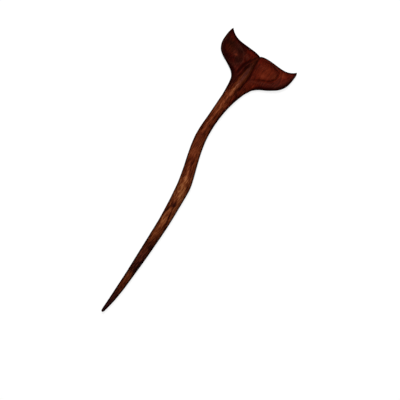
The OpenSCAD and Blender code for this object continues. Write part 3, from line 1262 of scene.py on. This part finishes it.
# %% A pale sweep
DISC_RADIUS = 2.0
CURVE_START = 2.2
CURVE_RADIUS = 0.8
WALL_TOP = 1.6
SWEEP_SIDES = 96
SWEEP_STEPS = 16
PALE = {
    "Base Color": (0.18, 0.18, 0.178, 1),
    "Roughness": 0.9,
    "Emission Color": (1, 1, 1, 1),
    "Emission Strength": 0.86,
}
rising = np.linspace(0, math.pi / 2, SWEEP_STEPS + 1)
radii = np.concatenate([[DISC_RADIUS], CURVE_START + CURVE_RADIUS * np.sin(rising)])
heights = np.concatenate([[0], CURVE_RADIUS * (1 - np.cos(rising))])
radii, heights = np.append(radii, radii[-1]), np.append(heights, WALL_TOP)
round_the_sweep = np.linspace(0, 2 * math.pi, SWEEP_SIDES, endpoint=False)
sweep = np.stack([
    np.outer(radii, np.cos(round_the_sweep)),
    np.outer(radii, np.sin(round_the_sweep)),
    np.repeat(heights[:, None], SWEEP_SIDES, axis=1),
], axis=2)
sweep_rows = numbers(sweep, 0)
sweep_faces = [sweep_rows[0]]
for inner, outer in zip(sweep_rows[:-1], sweep_rows[1:]):
    sweep_faces += quads(inner, outer)
floor_mesh = bpy.data.meshes.new("floor")
floor_mesh.from_pydata(sweep.reshape(-1, 3), [], sweep_faces)
floor_mesh.shade_smooth()
floor = bpy.data.objects.new("floor", floor_mesh)
bpy.context.scene.collection.objects.link(floor)
floor.visible_diffuse = False
floor.visible_glossy = False
table_top = bpy.data.materials.new("pale_table")
table_top.use_nodes = True
table_shader = table_top.node_tree.nodes["Principled BSDF"]
for name, value in PALE.items():
    table_shader.inputs[name].default_value = value
floor_mesh.materials.append(table_top)
print("sweep:", 2 * radii[-1], "m across")

# %% [markdown]
# ## Light
#
# The photograph's light is soft and comes from nearly straight above: the shaft is bright
# along its middle and dark along both edges, and there is hardly a shadow beside it. A
# large round lamp does that, a little beyond the tail and to its left, and a weak sky
# fills the shadows.

# %% A soft key and a weak fill
KEY_AZIMUTH = math.radians(32)
KEY_ELEVATION = math.radians(68)
KEY_DISTANCE = 1.6
KEY_WIDTH = 0.6
KEY_WATTS = 24
SKY_COLOUR = (0.9, 0.95, 1.0, 1)
SKY_STRENGTH = 0.08


def aim(thing, at, towards):
    """Puts a lamp or a camera at a place, looking at another."""
    thing.location = at
    thing.rotation_euler = (Vector(towards) - Vector(at)).to_track_quat("-Z", "Y").to_euler()


key_lamp = bpy.data.lights.new("key", "AREA")
key_lamp.shape = "DISK"
key_lamp.size = KEY_WIDTH
key_lamp.energy = KEY_WATTS
key = bpy.data.objects.new("key", key_lamp)
bpy.context.scene.collection.objects.link(key)
key_at = KEY_DISTANCE * Vector((
    math.cos(KEY_ELEVATION) * math.cos(KEY_AZIMUTH),
    math.cos(KEY_ELEVATION) * math.sin(KEY_AZIMUTH),
    math.sin(KEY_ELEVATION),
))
aim(key, key_at, (0, 0, 0))
sky = bpy.data.worlds.new("sky")
sky.use_nodes = True
background = sky.node_tree.nodes["Background"]
background.inputs["Color"].default_value = SKY_COLOUR
background.inputs["Strength"].default_value = SKY_STRENGTH
bpy.context.scene.world = sky
bpy.context.scene.view_settings.view_transform = "Standard"
print("key lamp at", [round(v, 2) for v in key_at])

# %% [markdown]
# ## The camera
#
# The photograph looks straight down, with the tail to the upper right. The notch of the
# tail and the length of a pixel place the frame: from the notch's pixel back to the
# middle of the picture, along the picture's two directions on the table.

# %% A camera straight above
PIXELS = 400
DRAWN_MM_PER_PIXEL = 0.5875
PIXEL = DRAWN_MM_PER_PIXEL * SCALE
NOTCH_PIXEL = (259.9, 57.0)
PICTURE_TURN = math.radians(-54.6)
LENS, SENSOR = 135, 36
NOTCH_HEIGHT = 0.0015
picture_right = np.array([math.cos(PICTURE_TURN), math.sin(PICTURE_TURN)])
picture_up = np.array([-math.sin(PICTURE_TURN), math.cos(PICTURE_TURN)])
notch = in_frame([NOTCH_X, 0, 0])[:2]
from_middle = (NOTCH_PIXEL[0] - PIXELS / 2, PIXELS / 2 - NOTCH_PIXEL[1])
middle = notch - PIXEL * (from_middle[0] * picture_right + from_middle[1] * picture_up)
camera_data = bpy.data.cameras.new("camera")
camera_data.lens = LENS
camera_data.sensor_width = SENSOR
camera = bpy.data.objects.new("camera", camera_data)
bpy.context.scene.collection.objects.link(camera)
camera.location = (*middle, NOTCH_HEIGHT + PIXELS * PIXEL * LENS / SENSOR)
camera.rotation_euler = (0, 0, PICTURE_TURN)
bpy.context.scene.camera = camera
print("camera at", [round(v, 4) for v in camera.location])

# %% [markdown]
# ## The end
#
# The last line brings the scene up to date. The finer mesh has to fill the same box as the
# imported solid.

# %% The finish
bpy.context.view_layer.update()
